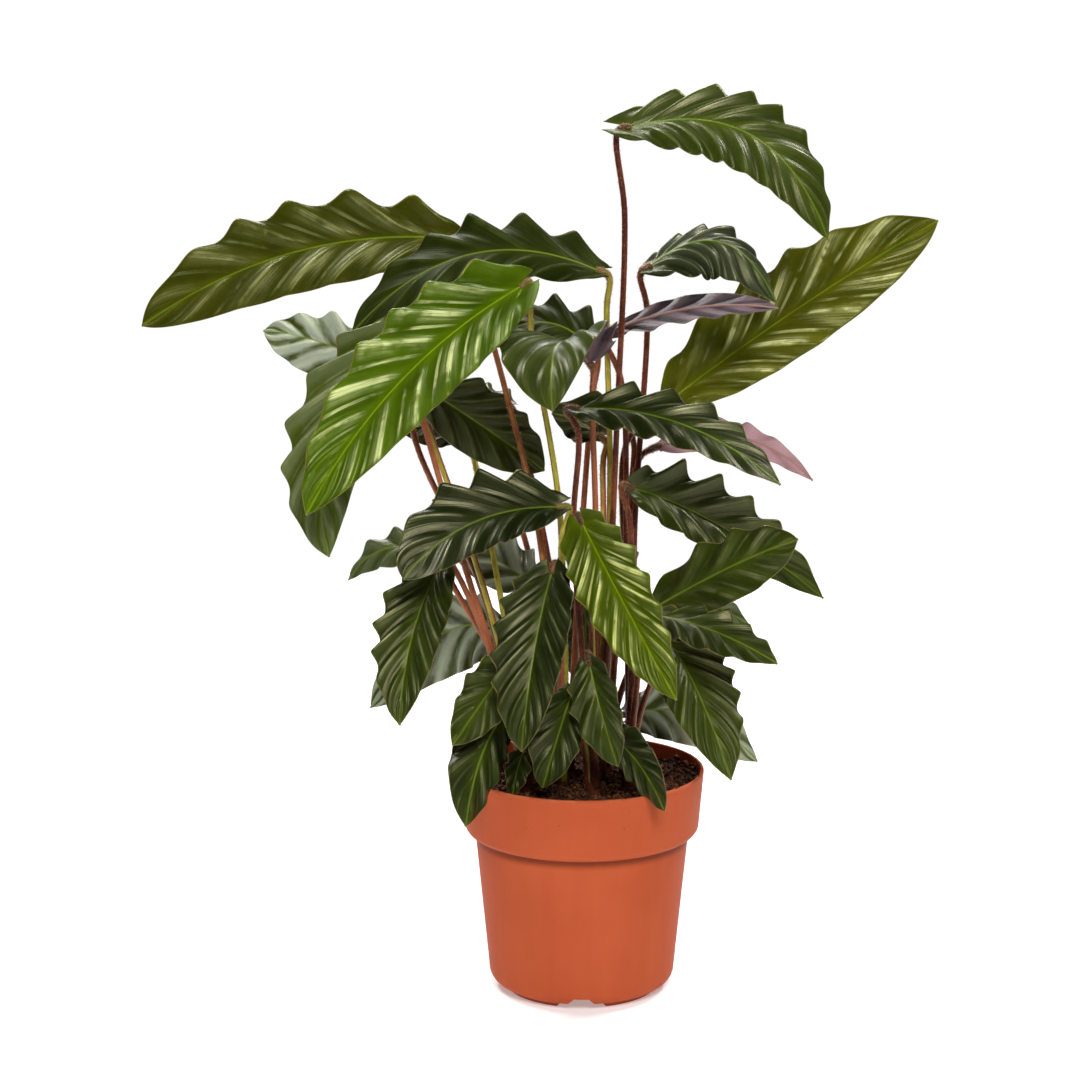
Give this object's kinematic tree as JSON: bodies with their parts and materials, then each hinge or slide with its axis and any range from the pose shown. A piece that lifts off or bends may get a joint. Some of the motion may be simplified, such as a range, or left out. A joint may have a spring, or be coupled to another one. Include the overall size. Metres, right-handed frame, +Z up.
{
  "type": "potted plant",
  "caption": "Potted foliage plant with long waved leaves on hairy stalks, standing in a round plastic nursery pot with a deep lip band.",
  "frame": {"origin": "middle of the pot's underside, on the surface that the pot stands on", "axes": "+Z up, -Y towards the plant's front, +X to the right as seen from the front"},
  "size_m": [0.6315, 0.2821, 0.7053],
  "materials": {
    "pot_plastic": "satin terracotta-coloured plastic",
    "peat": "rough dark peat with fibres and crumbs",
    "stalk": "matt red-brown with short hairs",
    "blade": "satin dark green above, dull purple under",
    "blade_bright": "glossy yellow-green above, dull purple under",
    "blade_olive": "glossy olive green above, dull purple under"
  },
  "bodies": {
    "root": {"pot": "pot_plastic", "soil": "peat", "shoot_1": "stalk", "shoot_2": "stalk", "shoot_3": "stalk", "shoot_4": "stalk", "shoot_5": "stalk", "shoot_6": "stalk", "shoot_7": "stalk", "shoot_8": "stalk", "shoot_9": "stalk", "leaf_01": "blade", "leaf_02": "blade_olive", "leaf_03": "blade", "leaf_04": "blade", "leaf_05": "blade_olive", "leaf_06": "blade", "leaf_07": "blade_bright", "leaf_08": "blade", "leaf_09": "blade", "leaf_10": "blade", "leaf_11": "blade", "leaf_12": "blade", "leaf_13": "blade", "leaf_14": "blade", "leaf_15": "blade", "leaf_16": "blade", "leaf_17": "blade", "leaf_18": "blade", "leaf_19": "blade", "leaf_20": "blade", "leaf_21": "blade", "leaf_22": "blade_bright", "leaf_23": "blade", "leaf_24": "blade", "leaf_25": "blade", "leaf_26": "blade", "leaf_27": "blade", "leaf_28": "blade", "leaf_29": "blade", "leaf_30": "blade", "leaf_31": "blade", "leaf_32": "blade", "leaf_33": "blade", "leaf_34": "blade", "leaf_35": "blade", "leaf_36": "blade", "leaf_37": "blade", "leaf_38": "blade", "leaf_39": "blade", "leaf_40": "blade", "leaf_41": "blade"}
  },
  "joints": []
}
